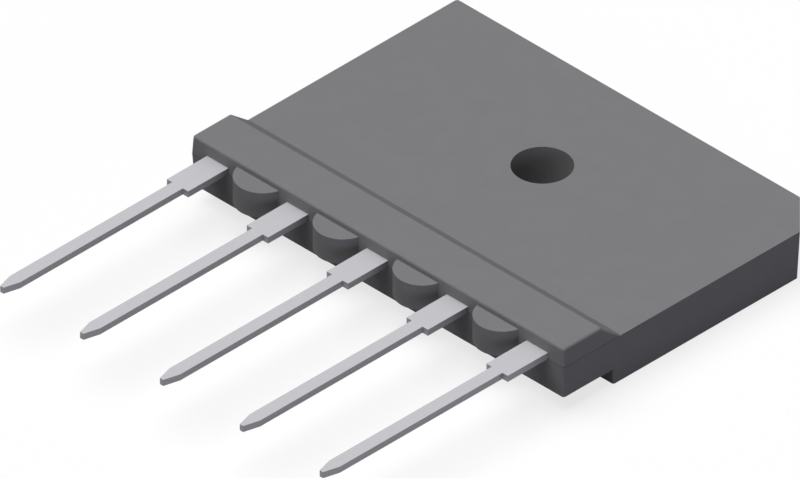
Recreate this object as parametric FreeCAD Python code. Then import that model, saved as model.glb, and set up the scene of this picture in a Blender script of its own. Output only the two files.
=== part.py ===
import FreeCAD, Part

import math
import os

from FreeCAD import Vector

# Three-phase bridge rectifier in a flat moulded package with one row of five leads.
# Millimetres. The origin is on the axis of the screw hole, at the underside.
# X runs along the lead row, Y away from the leads, Z up.
# The parting plane of the mould is the top of the rear plate, and the leads lie on it.

# Moulded body
body_width = 35.0
body_depth = 25.0
plate_height = 3.85
bar_rise = 1.45
bar_drop = 2.55
bar_top_depth = 3.56
slope_run = 1.84
step_depth = 4.8
draft_angle = 3.0
corner_chamfer = 2.8
corner_radius = 0.2
bar_edge_radius = 0.2
step_fillet = 0.2
step_corner_radius = 0.15

# Screw hole
hole_diameter = 4.25
hole_from_front = 15.5

# Half-round bosses on the lead face, one in each gap of the lead row
boss_radius = 2.0
boss_setback = 0.5
boss_rise = 1.0
boss_drop = 1.0

# Leads outside the body
lead_count = 5
lead_pitch = 7.5
sheet_thickness = 0.5
root_width = 2.0
root_length = 3.75
lead_width = 1.0
lead_length = 20.25
taper_length = 1.25
tip_width = 0.32

# Lead frame inside the body
crank_start = 3.0
crank_angle = 45.0
bend_radius = 0.3
pad_cover = 1.1
wall_cover = 1.2
hole_cover = 1.1
pad_gap = 0.9
pad_corner_radius = 0.4
anchor_hole_diameter = 1.0
anchor_hole_from_front = 1.6

# Diode dice and the solder under and over them
die_size = 3.4
die_height = 0.3
mesa_size = 2.9
mesa_height = 0.12
solder_height = 0.1
top_solder_size = 2.3
low_die_from_front = 7.9
high_die_from_gap = 3.1
middle_die_from_hole = 3.9

# Clips over the dice
clip_thickness = 0.3
joggle_angle = 45.0
clip_width = 1.4
paddle_size = 2.5
foot_width = 1.6
foot_length = 1.3
foot_from_die = 0.7
foot_from_pad_end = 0.4

# Cutting shapes run past what they cut by this much, and two places this close are one
beyond = 1.0
close = 0.001

# Places worked out from the sizes above
draft = math.tan(math.radians(draft_angle))
y_front = -hole_from_front
y_back = body_depth - hole_from_front
y_step = y_front + step_depth
z_parting = plate_height
z_bar_top = z_parting + bar_rise
z_bar_low = z_parting - bar_drop
z_pad_top = pad_cover + sheet_thickness
z_foot = z_pad_top + solder_height
z_clip = z_foot + die_height + solder_height
x_leads = [(i - (lead_count - 1) / 2) * lead_pitch for i in range(lead_count)]
x_minus, x_ac_3, x_ac_2, x_ac_1, x_plus = x_leads
x_ac = [x_ac_1, x_ac_2, x_ac_3]
hole_clear = hole_diameter / 2 + hole_cover
x_pad_end = body_width / 2 - plate_height * draft - wall_cover
y_pad_back = y_back - plate_height * draft - wall_cover
y_low_die = y_front + low_die_from_front
y_foot = y_low_die + die_size / 2 + foot_from_die + foot_length / 2
y_ac_back = y_foot + foot_length / 2 + foot_from_pad_end
y_plus_front = y_ac_back + pad_gap
y_high_die = y_plus_front + high_die_from_gap
y_middle_die = hole_diameter / 2 + middle_die_from_hole


def box(x_low, x_high, y_low, y_high, z_low, z_high):
    """Block between two corners."""
    corner = Vector(x_low, y_low, z_low)
    return Part.makeBox(x_high - x_low, y_high - y_low, z_high - z_low, corner)


def flat_face(corners):
    """Flat face with the given corners."""
    return Part.Face(Part.makePolygon(corners + corners[:1]))


def plate(points, z_low, height):
    """Flat piece with the given plan outline."""
    corners = [Vector(x, y, z_low) for x, y in points]
    return flat_face(corners).extrude(Vector(0, 0, height))


def upright_edges(solid):
    """Edges that climb at least twice as far as they run."""
    found = []
    for edge in solid.Edges:
        if len(edge.Vertexes) != 2:
            continue
        low = edge.Vertexes[0].Point
        high = edge.Vertexes[1].Point
        run = math.hypot(high.x - low.x, high.y - low.y)
        if abs(high.z - low.z) > 2 * run:
            found.append(edge)
    return found


# Moulded body


def body_corners(inset, z):
    """Corners of the body's plan at height z, drawn in by inset, with the rear right corner cut."""
    x_left = -body_width / 2 + inset
    x_right = body_width / 2 - inset
    y_low = y_front + inset
    y_high = y_back - inset
    leg = corner_chamfer - inset * (2 - math.sqrt(2))
    points = [
        (x_left, y_low),
        (x_right, y_low),
        (x_right, y_high - leg),
        (x_right - leg, y_high),
        (x_left, y_high),
    ]
    return [Vector(x, y, z) for x, y in points]


def drafted_half(z_end):
    """Half of the body from the parting plane to z_end, its walls leaning in with the draft."""
    inset = abs(z_end - z_parting) * draft
    rim = body_corners(0, z_parting)
    end = body_corners(inset, z_end)
    faces = [flat_face(rim), flat_face(end)]
    for i in range(len(rim)):
        faces.append(flat_face([rim[i - 1], rim[i], end[i], end[i - 1]]))
    return Part.Solid(Part.Shell(faces))


def rounded_corners(half):
    """Half of the body with its upright edges rounded."""
    return half.makeFillet(corner_radius, upright_edges(half))


def lengthwise_bar(points):
    """Bar along X with the given side profile, longer than the body at both ends."""
    corners = [Vector(-body_width, y, z) for y, z in points]
    return flat_face(corners).extrude(Vector(2 * body_width, 0, 0))


def edges_along(solid, places):
    """Edges along X that pass through the given places of the side profile."""
    found = []
    for edge in solid.Edges:
        middle = edge.CenterOfMass
        for y, z in places:
            if math.hypot(middle.y - y, middle.z - z) < close:
                found.append(edge)
    return found


def upper_half():
    """Top of the front bar, with its rear slope down to the plate and a softened rim."""
    y_crest = y_front + bar_top_depth
    profile = lengthwise_bar([
        (y_front - beyond, z_parting),
        (y_crest + slope_run, z_parting),
        (y_crest, z_bar_top),
        (y_front - beyond, z_bar_top),
    ])
    bar = rounded_corners(drafted_half(z_bar_top).common(profile))
    rim = []
    for edge in bar.Edges:
        middle = edge.CenterOfMass
        on_top = abs(middle.z - z_bar_top) < close and middle.y < y_crest - close
        down_slope = z_parting + close < middle.z < z_bar_top - close and middle.y > y_crest
        if on_top or down_slope:
            rim.append(edge)
    return bar.makeFillet(bar_edge_radius, rim)


def step_cutter():
    """What is taken away in front of the rear plate. It flares forward to meet the bar's underside."""
    y_low = y_step + (z_bar_low + beyond) * draft
    under_bar = lengthwise_bar([
        (y_front - beyond, -beyond),
        (y_low, -beyond),
        (y_step, z_bar_low),
        (y_front - beyond, z_bar_low),
    ])
    under_bar = under_bar.makeFillet(step_fillet, edges_along(under_bar, [(y_step, z_bar_low)]))
    y_flare = y_step - step_fillet * math.tan(math.radians(90 - draft_angle) / 2)
    in_bar = lengthwise_bar([
        (y_front - beyond, -beyond),
        (y_flare, -beyond),
        (y_flare, z_parting + beyond),
        (y_front - beyond, z_parting + beyond),
    ])
    return under_bar.fuse(in_bar)


def rear_plate(half):
    """Plate down to the underside, with the upright ends of the step rounded."""
    plate_half = half.cut(step_cutter())
    ends = []
    for edge in upright_edges(plate_half):
        middle = edge.CenterOfMass
        if middle.z < z_bar_low and middle.y < y_step + z_bar_low * draft:
            ends.append(edge)
    return plate_half.makeFillet(step_corner_radius, ends)


def lower_half():
    """Rear plate and the bottom of the front bar, which stops short of the underside."""
    half = rounded_corners(drafted_half(0))
    under_bar = box(-body_width, body_width, y_front - beyond, y_back + beyond, -beyond, z_bar_low)
    return half.cut(under_bar).fuse(rear_plate(half))


def boss(x):
    """Half-round boss that keeps two leads apart, standing across the parting plane."""
    foot = Vector(x, y_front + boss_setback, z_parting - boss_drop)
    return Part.makeCylinder(boss_radius, boss_drop + boss_rise, foot)


def molded_body(held):
    """Epoxy moulding with the screw hole, and the room taken by the pieces that it holds."""
    bosses = [boss(x + lead_pitch / 2) for x in x_leads[:-1]]
    body = upper_half().fuse([lower_half()] + bosses).removeSplitter()
    hole = Part.makeCylinder(hole_diameter / 2, plate_height + 2 * beyond, Vector(0, 0, -beyond))
    return body.cut([hole] + held)


# Lead frame, stamped from one sheet and cranked down inside the body


def frame_sheet():
    """Whole bent sheet before stamping: level at the parting plane, then down to the pads."""
    drop = z_parting - pad_cover
    run = drop / math.tan(math.radians(crank_angle))
    shift = sheet_thickness * math.tan(math.radians(crank_angle / 2))
    y_tip = y_front - lead_length - beyond
    y_down = y_front + crank_start
    lower = [
        (y_tip, z_parting),
        (y_down, z_parting),
        (y_down + run, pad_cover),
        (y_back, pad_cover),
    ]
    upper = [
        (y_back, z_pad_top),
        (y_down + run + shift, z_pad_top),
        (y_down + shift, z_parting + sheet_thickness),
        (y_tip, z_parting + sheet_thickness),
    ]
    sheet = lengthwise_bar(lower + upper)
    inner = [(y_down, z_parting), (y_down + run + shift, z_pad_top)]
    outer = [(y_down + shift, z_parting + sheet_thickness), (y_down + run, pad_cover)]
    sheet = sheet.makeFillet(bend_radius, edges_along(sheet, inner))
    return sheet.makeFillet(bend_radius + sheet_thickness, edges_along(sheet, outer))


def blade_outline(x):
    """Outline of a lead from its tapered tip to the top of the crank."""
    y_tip = y_front - lead_length
    y_shoulder = y_front - root_length
    side = [
        (tip_width / 2, y_tip),
        (lead_width / 2, y_tip + taper_length),
        (lead_width / 2, y_shoulder),
        (root_width / 2, y_shoulder),
        (root_width / 2, y_front + crank_start),
    ]
    right = [(x + half, y) for half, y in side]
    left = [(x - half, y) for half, y in reversed(side)]
    return right + left


def rounded_pad(points):
    """Upright block over a pad's outline, its corners rounded as the punch leaves them."""
    pad = plate(points, 0, 2 * z_parting)
    return pad.makeFillet(pad_corner_radius, upright_edges(pad))


def terminal(x, pad):
    """One stamped piece of the sheet: the lead at x, its anchor hole and its pad."""
    blade = plate(blade_outline(x), 0, 2 * z_parting)
    anchor = Vector(x, y_front + anchor_hole_from_front, 0)
    hole = Part.makeCylinder(anchor_hole_diameter / 2, 2 * z_parting, anchor)
    return frame_sheet().common(blade.fuse(pad)).cut(hole).removeSplitter()


def rectangle(x_low, x_high, y_low, y_high):
    """Corners of a rectangle."""
    return [(x_low, y_low), (x_high, y_low), (x_high, y_high), (x_low, y_high)]


def ac_terminal(x):
    """Alternating-current lead with the pad that carries one die."""
    half = (lead_pitch - pad_gap) / 2
    y_neck = y_front + crank_start - root_width / 2
    return terminal(x, rounded_pad(rectangle(x - half, x + half, y_neck, y_ac_back)))


def minus_terminal():
    """Negative lead with a small pad for the foot of the clip."""
    x_inner = x_ac_3 - lead_pitch / 2 - pad_gap / 2
    y_neck = y_front + crank_start - root_width / 2
    return terminal(x_minus, rounded_pad(rectangle(-x_pad_end, x_inner, y_neck, y_ac_back)))


def plus_terminal():
    """Positive lead with the wide plate that carries three dice round the screw hole."""
    x_inner = x_ac_1 + lead_pitch / 2 + pad_gap / 2
    y_neck = y_front + crank_start - root_width / 2
    leg = corner_chamfer
    outline = [
        (x_inner, y_neck),
        (x_pad_end, y_neck),
        (x_pad_end, y_pad_back - leg),
        (x_pad_end - leg, y_pad_back),
        (-x_pad_end, y_pad_back),
        (-x_pad_end, y_plus_front),
        (x_inner, y_plus_front),
    ]
    pad = rounded_pad(outline)
    round_notch = Part.makeCylinder(hole_clear, 2 * z_parting)
    low = y_plus_front - beyond
    notch = round_notch.fuse(box(-hole_clear, hole_clear, low, 0, 0, 2 * z_parting))
    return terminal(x_plus, pad.cut(notch.removeSplitter()))


# Dice, from the pad up: solder, silicon, solder


def block(x, y, z, size_x, size_y, height):
    """Flat block that is centred on x, y and stands on z."""
    half_x = size_x / 2
    half_y = size_y / 2
    return box(x - half_x, x + half_x, y - half_y, y + half_y, z, z + height)


def square_wire(x, y, z, size):
    """Square outline at height z."""
    half = size / 2
    points = rectangle(x - half, x + half, y - half, y + half)
    corners = [Vector(px, py, z) for px, py in points]
    return Part.makePolygon(corners + corners[:1])


def die(x, y):
    """Silicon diode die with a sloped mesa edge round its top."""
    z = z_pad_top + solder_height
    z_mesa = z + die_height - mesa_height
    base = block(x, y, z, die_size, die_size, die_height - mesa_height)
    rim = square_wire(x, y, z_mesa, die_size)
    top = square_wire(x, y, z + die_height, mesa_size)
    mesa = Part.makeLoft([rim, top], True, True)
    return base.fuse(mesa).removeSplitter()


def base_solder(x, y):
    """Solder between the pad and a die."""
    return block(x, y, z_pad_top, die_size, die_size, solder_height)


def top_solder(x, y):
    """Solder between a die and the clip over it."""
    z = z_clip - solder_height
    return block(x, y, z, top_solder_size, top_solder_size, solder_height)


def foot_solder(x, y, size_x, size_y):
    """Solder between the pad and the foot of a clip."""
    return block(x, y, z_pad_top, size_x, size_y, solder_height)


# Clips


def paddle(x, y):
    """Square end of a clip over a die."""
    return block(x, y, z_clip, paddle_size, paddle_size, clip_thickness)


def joggled_foot(length):
    """Foot of a clip: a strip along X that steps down from the clip's level to the pad's solder.

    It is foot_width wide about Y = 0. Its level end is at X = 0 and its foot ends at X = length.
    """
    run = (z_clip - z_foot) / math.tan(math.radians(joggle_angle))
    shift = clip_thickness * math.tan(math.radians(joggle_angle / 2))
    x_low = length - foot_length
    points = [
        (0, z_clip),
        (x_low - run, z_clip),
        (x_low, z_foot),
        (length, z_foot),
        (length, z_foot + clip_thickness),
        (x_low + shift, z_foot + clip_thickness),
        (x_low - run + shift, z_clip + clip_thickness),
        (0, z_clip + clip_thickness),
    ]
    corners = [Vector(x, -foot_width / 2, z) for x, z in points]
    return flat_face(corners).extrude(Vector(0, foot_width, 0))


def placed(shape, angle, x, y):
    """Shape turned about Z by angle and moved to x, y."""
    shape.rotate(Vector(), Vector(0, 0, 1), angle)
    shape.translate(Vector(x, y, 0))
    return shape


def straight_ac_clip(x):
    """Clip from an outer alternating-current pad straight back to its die on the plus plate."""
    y_end = y_foot - foot_length / 2
    y_spine = y_high_die - paddle_size / 2
    foot = placed(joggled_foot(y_spine - y_end), -90, x, y_spine)
    return foot.fuse(paddle(x, y_high_die)).removeSplitter()


def middle_ac_clip(x):
    """Clip from the middle pad round the screw hole to the die behind it."""
    x_spine = x - hole_clear - clip_width / 2
    x_foot_end = x + foot_length / 2
    foot = placed(joggled_foot(x_foot_end - x_spine), 0, x_spine, y_foot)
    low = y_foot - foot_width / 2
    high = y_middle_die + clip_width / 2
    half = clip_width / 2
    top = z_clip + clip_thickness
    spine = box(x_spine - half, x_spine + half, low, high, z_clip, top)
    arm = box(x_spine - half, x, y_middle_die - half, high, z_clip, top)
    return spine.fuse([arm, foot, paddle(x, y_middle_die)]).removeSplitter()


def minus_clip():
    """Common clip over the dice of the three alternating-current pads, down to the minus pad."""
    x_foot_end = x_minus - foot_length / 2
    x_spine = min(x_ac) - paddle_size / 2
    foot = placed(joggled_foot(x_spine - x_foot_end), 180, x_spine, y_low_die)
    half = clip_width / 2
    low = y_low_die - half
    spine = box(x_spine, max(x_ac), low, low + clip_width, z_clip, z_clip + clip_thickness)
    paddles = [paddle(x, y_low_die) for x in x_ac]
    return spine.fuse([foot] + paddles).removeSplitter()


def held_pieces():
    """Everything that the moulding holds, by name."""
    pieces = {"plus_terminal": plus_terminal(), "minus_terminal": minus_terminal()}
    high_places = [(x_ac_1, y_high_die), (x_ac_2, y_middle_die), (x_ac_3, y_high_die)]
    for number, x in enumerate(x_ac, 1):
        pieces[f"ac_terminal_{number}"] = ac_terminal(x)
        for side, (die_x, die_y) in (("minus", (x, y_low_die)), ("plus", high_places[number - 1])):
            pieces[f"{side}_die_{number}"] = die(die_x, die_y)
            pieces[f"{side}_die_{number}_base_solder"] = base_solder(die_x, die_y)
            pieces[f"{side}_die_{number}_top_solder"] = top_solder(die_x, die_y)
    for number, x in ((1, x_ac_1), (3, x_ac_3)):
        pieces[f"ac_clip_{number}"] = straight_ac_clip(x)
        pieces[f"ac_clip_{number}_solder"] = foot_solder(x, y_foot, foot_width, foot_length)
    pieces["ac_clip_2"] = middle_ac_clip(x_ac_2)
    pieces["ac_clip_2_solder"] = foot_solder(x_ac_2, y_foot, foot_length, foot_width)
    pieces["minus_clip"] = minus_clip()
    pieces["minus_clip_solder"] = foot_solder(x_minus, y_low_die, foot_length, foot_width)
    return pieces


os.makedirs("parts", exist_ok=True)
pieces = held_pieces()
pieces["molded_body"] = molded_body(list(pieces.values()))
for name, shape in pieces.items():
    shape.exportStep(f"parts/{name}.step")
    print(name, len(shape.Solids), shape.isValid(), round(shape.Volume, 3))
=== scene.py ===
import math

import bpy
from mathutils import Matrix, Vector

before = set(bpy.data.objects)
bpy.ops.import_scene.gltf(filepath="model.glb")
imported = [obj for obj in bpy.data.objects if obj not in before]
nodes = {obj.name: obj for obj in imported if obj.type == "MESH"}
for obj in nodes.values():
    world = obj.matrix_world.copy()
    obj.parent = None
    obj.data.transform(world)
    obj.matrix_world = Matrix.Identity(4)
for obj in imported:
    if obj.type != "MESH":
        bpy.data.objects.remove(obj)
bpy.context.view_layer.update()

# The leads and their pads. Half-millimetre copper strip is stamped to shape, cranked down to the pads and
# plated with matt tin. The rolled faces stay smooth and pale. Every upright face is darker, partly for the
# duller sheared flanks and partly as painted shade, set by how steeply the face stands.
LEADS = ["plus_terminal", "ac_terminal_1", "ac_terminal_2", "ac_terminal_3", "minus_terminal"]
TIN_PALE = (0.47, 0.47, 0.492, 1.0)
# Flank tone: partly the duller sheared edge, partly painted shade for upright faces.
TIN_SHEARED_AND_SHADED = (0.325, 0.325, 0.345, 1.0)
FLANK_TO_FACE = (0.2, 0.6)
TIN_METALLIC = 0.35
TIN_ROUGHNESS = 0.6
TIN_UNEVEN = 0.05
ROLL_PITCH = 0.00015
ROLL_STRETCH = (1.0, 0.08, 1.0)
ROLL_DEPTH = 0.000002
GRAIN_BAND = (0.3, 0.7)


def finish_nodes(name):
    """New node material, with its shader and the object's own coordinates in metres."""
    material = bpy.data.materials.new(name)
    material.use_nodes = True
    tree = material.node_tree
    shader = tree.nodes["Principled BSDF"]
    place = tree.nodes.new("ShaderNodeTexCoord").outputs["Object"]
    return material, tree, shader, place


def grain(tree, place, pitch, detail=2.0, stretch=(1.0, 1.0, 1.0)):
    """Noise with lumps about one pitch across, stretched along an axis by a value under one."""
    mapping = tree.nodes.new("ShaderNodeMapping")
    mapping.inputs["Scale"].default_value = stretch
    noise = tree.nodes.new("ShaderNodeTexNoise")
    noise.inputs["Scale"].default_value = 1 / pitch
    noise.inputs["Detail"].default_value = detail
    tree.links.new(place, mapping.inputs["Vector"])
    tree.links.new(mapping.outputs["Vector"], noise.inputs["Vector"])
    return noise.outputs["Fac"]


def spread(tree, value, low, high, to_low=0.0, to_high=1.0):
    """Value mapped from one range to another and held inside it."""
    node = tree.nodes.new("ShaderNodeMapRange")
    ends = {"From Min": low, "From Max": high, "To Min": to_low, "To Max": to_high}
    for socket, number in ends.items():
        node.inputs[socket].default_value = number
    tree.links.new(value, node.inputs["Value"])
    return node.outputs["Result"]


def blend_colours(tree, share, first, second):
    """First colour turning to the second with share. Either may be a colour or a socket."""
    node = tree.nodes.new("ShaderNodeMix")
    node.data_type = "RGBA"
    tree.links.new(share, node.inputs["Factor"])
    for socket, colour in ((node.inputs["A"], first), (node.inputs["B"], second)):
        if isinstance(colour, bpy.types.NodeSocket):
            tree.links.new(colour, socket)
        else:
            socket.default_value = colour
    return node.outputs["Result"]


def calculate(tree, operation, first, second=0.0):
    """Math node on a socket and a socket or number."""
    node = tree.nodes.new("ShaderNodeMath")
    node.operation = operation
    tree.links.new(first, node.inputs[0])
    if isinstance(second, bpy.types.NodeSocket):
        tree.links.new(second, node.inputs[1])
    else:
        node.inputs[1].default_value = second
    return node.outputs["Value"]


def part_of(tree, vector, axis):
    """One component of a vector socket."""
    node = tree.nodes.new("ShaderNodeSeparateXYZ")
    tree.links.new(vector, node.inputs["Vector"])
    return node.outputs[axis]


def levelness(tree):
    """How level the surface lies: 0 on an upright wall, 1 on a flat top or underside."""
    normal = tree.nodes.new("ShaderNodeNewGeometry").outputs["Normal"]
    return calculate(tree, "ABSOLUTE", part_of(tree, normal, "Z"))


def vary_roughness(tree, shader, noise, middle, swing):
    """Roughness that follows the noise, by up to the swing either way."""
    rough = spread(tree, noise, *GRAIN_BAND, middle - swing, middle + swing)
    tree.links.new(rough, shader.inputs["Roughness"])


def raise_bumps(tree, shader, height, depth):
    """Bump on the shader from a height of 0 to 1, depth metres deep."""
    bump = tree.nodes.new("ShaderNodeBump")
    bump.inputs["Distance"].default_value = depth
    tree.links.new(height, bump.inputs["Height"])
    tree.links.new(bump.outputs["Normal"], shader.inputs["Normal"])


def tin_plating():
    """Matt tin over stamped copper, with rolling lines along the strip and painted shade on the upright
    faces.
    """
    material, tree, shader, place = finish_nodes("tin_plating")
    rolled = grain(tree, place, ROLL_PITCH, stretch=ROLL_STRETCH)
    # Painted shade: upright faces take the darker flank tone by how steeply they stand. The duller sheared
    # edge accounts for only part of it.
    level = spread(tree, levelness(tree), *FLANK_TO_FACE)
    tone = blend_colours(tree, level, TIN_SHEARED_AND_SHADED, TIN_PALE)
    tree.links.new(tone, shader.inputs["Base Color"])
    vary_roughness(tree, shader, rolled, TIN_ROUGHNESS, TIN_UNEVEN)
    shader.inputs["Metallic"].default_value = TIN_METALLIC
    raise_bumps(tree, shader, rolled, ROLL_DEPTH)
    return material


def dress(node, material):
    """Gives a CAD node its material."""
    node.data.materials.clear()
    node.data.materials.append(material)


tin = tin_plating()
for name in LEADS:
    dress(nodes[name], tin)

# The solder. A dab of soft solder melts under and over each die and under each clip's foot, and sets there
# as a thin layer. The moulding hides it.
SOLDER = [name for name in nodes if name.endswith("solder")]
SOLDER_BRIGHT = (0.6, 0.6, 0.62, 1.0)
SOLDER_DULL = (0.5, 0.5, 0.52, 1.0)
SOLDER_METALLIC = 1.0
SOLDER_ROUGHNESS = 0.4
SOLDER_PITCH = 0.0003
HIDDEN_UNEVEN = 0.08
MOTTLE_BAND = (0.35, 0.65)


def hidden_finish(name, bright, dull, metallic, roughness, pitch):
    """Finish with a little mottling, for pieces that the moulding hides."""
    material, tree, shader, place = finish_nodes(name)
    mottle = grain(tree, place, pitch)
    tone = blend_colours(tree, spread(tree, mottle, *MOTTLE_BAND), bright, dull)
    tree.links.new(tone, shader.inputs["Base Color"])
    vary_roughness(tree, shader, mottle, roughness, HIDDEN_UNEVEN)
    shader.inputs["Metallic"].default_value = metallic
    return material


solder = hidden_finish(
    "soft_solder", SOLDER_BRIGHT, SOLDER_DULL, SOLDER_METALLIC, SOLDER_ROUGHNESS, SOLDER_PITCH)
for name in SOLDER:
    dress(nodes[name], solder)

# The dice. Six diodes are sawn from a silicon wafer, three for each pole of the bridge, and soldered down.
# Their surface is dark and passivated. The moulding hides them.
DICE = [f"{pole}_die_{number}" for pole in ("plus", "minus") for number in (1, 2, 3)]
SILICON_BLUE = (0.16, 0.17, 0.2, 1.0)
SILICON_DARK = (0.13, 0.14, 0.18, 1.0)
SILICON_METALLIC = 0.3
SILICON_ROUGHNESS = 0.25
SILICON_PITCH = 0.0005

silicon = hidden_finish(
    "passivated_silicon", SILICON_BLUE, SILICON_DARK, SILICON_METALLIC, SILICON_ROUGHNESS, SILICON_PITCH)
for name in DICE:
    dress(nodes[name], silicon)

# The clips. Thin copper strip is stamped and bent to reach from the top of a die down to a pad, and it is
# soldered at both ends. The moulding hides them.
CLIPS = ["ac_clip_1", "ac_clip_2", "ac_clip_3", "minus_clip"]
COPPER_BRIGHT = (0.72, 0.42, 0.28, 1.0)
COPPER_DULL = (0.66, 0.36, 0.23, 1.0)
COPPER_METALLIC = 1.0
COPPER_ROUGHNESS = 0.35
COPPER_PITCH = 0.0008

copper = hidden_finish(
    "soft_copper", COPPER_BRIGHT, COPPER_DULL, COPPER_METALLIC, COPPER_ROUGHNESS, COPPER_PITCH)
for name in CLIPS:
    dress(nodes[name], copper)

# The moulded body. One shot of silica-filled epoxy closes round the lead frame in a two-part steel mould,
# which leaves a fine matt spark-eroded texture, a trace of flow mottling and a hairline witness where the
# mould halves meet, level with the underside of the leads.
EPOXY_GREY = (0.2, 0.2, 0.206, 1.0)
EPOXY_PALE = (0.206, 0.206, 0.212, 1.0)
EPOXY_WITNESS = (0.15, 0.15, 0.155, 1.0)
EPOXY_ROUGHNESS = 0.74
EPOXY_UNEVEN = 0.06
EPOXY_GLOSS = 0.05
GLOSS_FADE = (0.6, 0.9)
GRAIN_PITCH = 0.00018
GRAIN_DEPTH = 0.000008
FLOW_PITCH = 0.0015
FINE_DETAIL = 3.0
PARTING_HEIGHT = 0.00385
WITNESS_HALF = 0.00003
WALL_TO_TOP = (0.2, 0.4)
LEAD_FACE = -0.0155


def mould_witness(tree, place):
    """1 along the line where the mould halves meet, on the upright walls apart from the bosses."""
    above = calculate(tree, "SUBTRACT", part_of(tree, place, "Z"), PARTING_HEIGHT)
    off_line = calculate(tree, "ABSOLUTE", above)
    on_line = spread(tree, off_line, WITNESS_HALF, 2 * WITNESS_HALF, 1.0, 0.0)
    on_wall = spread(tree, levelness(tree), *WALL_TO_TOP, 1.0, 0.0)
    along = part_of(tree, place, "Y")
    off_bosses = spread(tree, along, LEAD_FACE - 2 * WITNESS_HALF, LEAD_FACE - WITNESS_HALF)
    return calculate(tree, "MULTIPLY", calculate(tree, "MULTIPLY", on_line, on_wall), off_bosses)


def moulded_epoxy():
    """Charcoal-grey moulding compound."""
    material, tree, shader, place = finish_nodes("moulded_epoxy")
    fine = grain(tree, place, GRAIN_PITCH, FINE_DETAIL)
    flow = grain(tree, place, FLOW_PITCH, FINE_DETAIL)
    tone = blend_colours(tree, spread(tree, flow, *MOTTLE_BAND), EPOXY_GREY, EPOXY_PALE)
    tone = blend_colours(tree, mould_witness(tree, place), tone, EPOXY_WITNESS)
    tree.links.new(tone, shader.inputs["Base Color"])
    vary_roughness(tree, shader, fine, EPOXY_ROUGHNESS, EPOXY_UNEVEN)
    facing = tree.nodes.new("ShaderNodeLayerWeight").outputs["Facing"]
    gloss = spread(tree, facing, *GLOSS_FADE, EPOXY_GLOSS, 0.0)
    tree.links.new(gloss, shader.inputs["Specular IOR Level"])
    raise_bumps(tree, shader, fine, GRAIN_DEPTH)
    return material


dress(nodes["molded_body"], moulded_epoxy())

# The floor. A plain white sheet lies under the part and keeps a faint soft shadow. What it throws back up
# at the part is low, as from grey felt.
FLOOR_WIDTH = 4.0
WHITE = (1.0, 1.0, 1.0, 1.0)
SHADOW_SHARE = 0.25
FELT_TONE = (0.22, 0.22, 0.22, 1.0)


def looked_at(tree):
    """1 for what is seen straight on, in a reflection or through glass, and 0 for light thrown on."""
    path = tree.nodes.new("ShaderNodeLightPath").outputs
    either = calculate(tree, "MAXIMUM", path["Is Camera Ray"], path["Is Glossy Ray"])
    return calculate(tree, "MAXIMUM", either, path["Is Transmission Ray"])


def matt(tree, colour):
    """Plain diffuse surface."""
    node = tree.nodes.new("ShaderNodeBsdfDiffuse")
    node.inputs["Color"].default_value = colour
    return node.outputs["BSDF"]


def mix_surfaces(tree, first, second):
    """Node that mixes two surfaces, from the first at 0 to the second at 1."""
    node = tree.nodes.new("ShaderNodeMixShader")
    tree.links.new(first, node.inputs[1])
    tree.links.new(second, node.inputs[2])
    return node


def white_sheet():
    """Sheet that looks white and lights the part as dull felt does."""
    material = bpy.data.materials.new("white_sheet")
    material.use_nodes = True
    tree = material.node_tree
    tree.nodes.clear()
    glow = tree.nodes.new("ShaderNodeEmission")
    seen = mix_surfaces(tree, glow.outputs["Emission"], matt(tree, WHITE))
    seen.inputs["Fac"].default_value = SHADOW_SHARE
    surface = mix_surfaces(tree, matt(tree, FELT_TONE), seen.outputs["Shader"])
    tree.links.new(looked_at(tree), surface.inputs["Fac"])
    out = tree.nodes.new("ShaderNodeOutputMaterial")
    tree.links.new(surface.outputs["Shader"], out.inputs["Surface"])
    return material


bpy.ops.mesh.primitive_plane_add(size=FLOOR_WIDTH)
floor = bpy.context.object
floor.name = "floor"
floor.data.materials.append(white_sheet())

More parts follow.
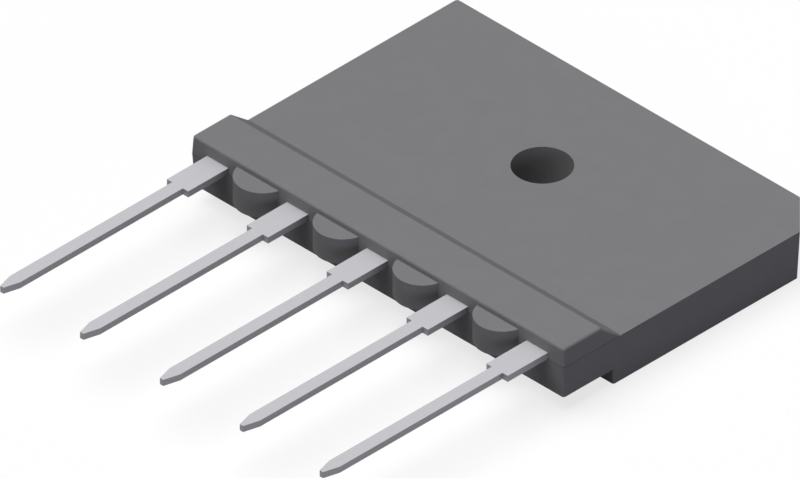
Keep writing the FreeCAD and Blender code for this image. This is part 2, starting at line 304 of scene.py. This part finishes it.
# The light. One broad lamp hangs overhead, a little to the front left, and a weak, slightly violet one
# stands low on the right. The room adds little, and shows white to the camera and in reflections.
KEY_FROM = (-0.2, -0.2, 1.0)
KEY_STRENGTH = 3.0
KEY_WIDTH = math.radians(60)
FILL_FROM = (1.0, -0.35, 0.12)
FILL_STRENGTH = 0.67
FILL_WIDTH = math.radians(30)
FILL_COLOUR = (0.87, 0.83, 1.0)
ROOM_LIGHT = 0.04
ROOM_SEEN = 1.0


def broad_lamp(name, place, strength, width):
    """Far lamp that shines from a place on the sky, as wide as an angle."""
    data = bpy.data.lights.new(name, "SUN")
    data.energy = strength
    data.angle = width
    lamp = bpy.data.objects.new(name, data)
    lamp.rotation_mode = "QUATERNION"
    lamp.rotation_quaternion = (-Vector(place)).to_track_quat("-Z", "Y")
    bpy.context.scene.collection.objects.link(lamp)
    return data


def white_room():
    """World that is white to look at and gives off little light."""
    world = bpy.data.worlds.new("room")
    world.use_nodes = True
    tree = world.node_tree
    room = tree.nodes["Background"]
    room.inputs["Color"].default_value = WHITE
    strength = spread(tree, looked_at(tree), 0.0, 1.0, ROOM_LIGHT, ROOM_SEEN)
    tree.links.new(strength, room.inputs["Strength"])
    return world


broad_lamp("key_lamp", KEY_FROM, KEY_STRENGTH, KEY_WIDTH)
broad_lamp("fill_lamp", FILL_FROM, FILL_STRENGTH, FILL_WIDTH).color = FILL_COLOUR
bpy.context.scene.world = white_room()

# The camera. It gives a parallel view along the isometric axis, from the front right and above, with the
# leads towards the lower left of the picture.
FRAME_WIDTH = 0.053109
AIM = Vector((-0.000685, -0.012681, 0.00385))
SIGHT = Vector((1.0, -1.0, 1.0)).normalized()
STAND_OFF = 0.25

camera_data = bpy.data.cameras.new("camera")
camera_data.type = "ORTHO"
camera_data.ortho_scale = FRAME_WIDTH
camera = bpy.data.objects.new("camera", camera_data)
camera.location = AIM + SIGHT * STAND_OFF
camera.rotation_mode = "QUATERNION"
camera.rotation_quaternion = (-SIGHT).to_track_quat("-Z", "Y")
bpy.context.scene.collection.objects.link(camera)
bpy.context.scene.camera = camera
bpy.context.scene.view_settings.view_transform = "Standard"
